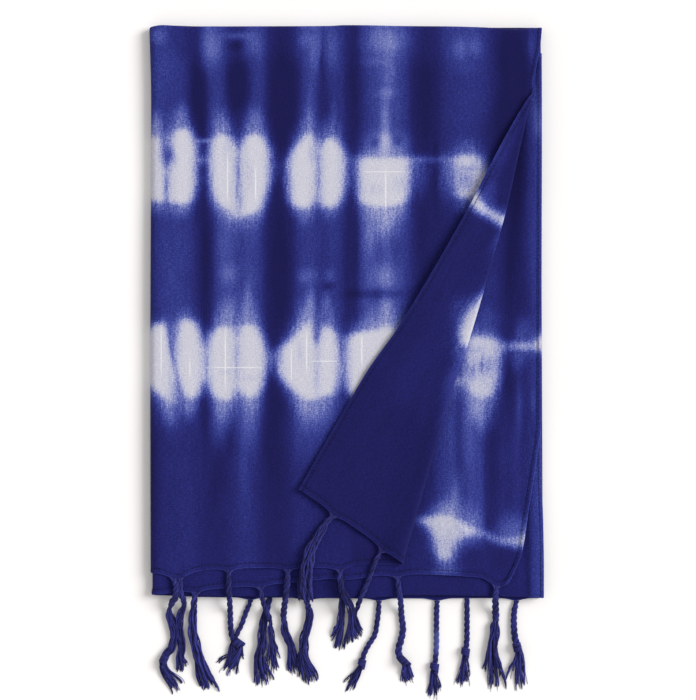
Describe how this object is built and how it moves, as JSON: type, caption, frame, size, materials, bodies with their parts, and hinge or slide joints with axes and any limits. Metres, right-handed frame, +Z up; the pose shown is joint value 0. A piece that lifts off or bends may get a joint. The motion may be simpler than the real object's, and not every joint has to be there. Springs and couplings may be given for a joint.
{
  "type": "hand-dyed stole",
  "caption": "Indigo stole with bound-and-dyed white marks, folded flat into a rectangular stack, its top corner turned back, with twisted and knotted tassels along its ends.",
  "frame": {"origin": "centre of the base that the folded stole lies on", "axes": "+Y towards the unfringed top fold, -Y towards the tassels, +X away from the lengthwise fold, +Z up"},
  "size_m": [0.353, 0.603, 0.0203],
  "materials": {
    "dyed_cloth": "matte, soft woven viscose, deep indigo with white bound marks",
    "fringe_yarn": "matte twisted yarn, deep indigo"
  },
  "bodies": {
    "root": {"stole": "dyed_cloth", "fringe_outer": "fringe_yarn", "fringe_inner": "fringe_yarn"}
  },
  "joints": []
}
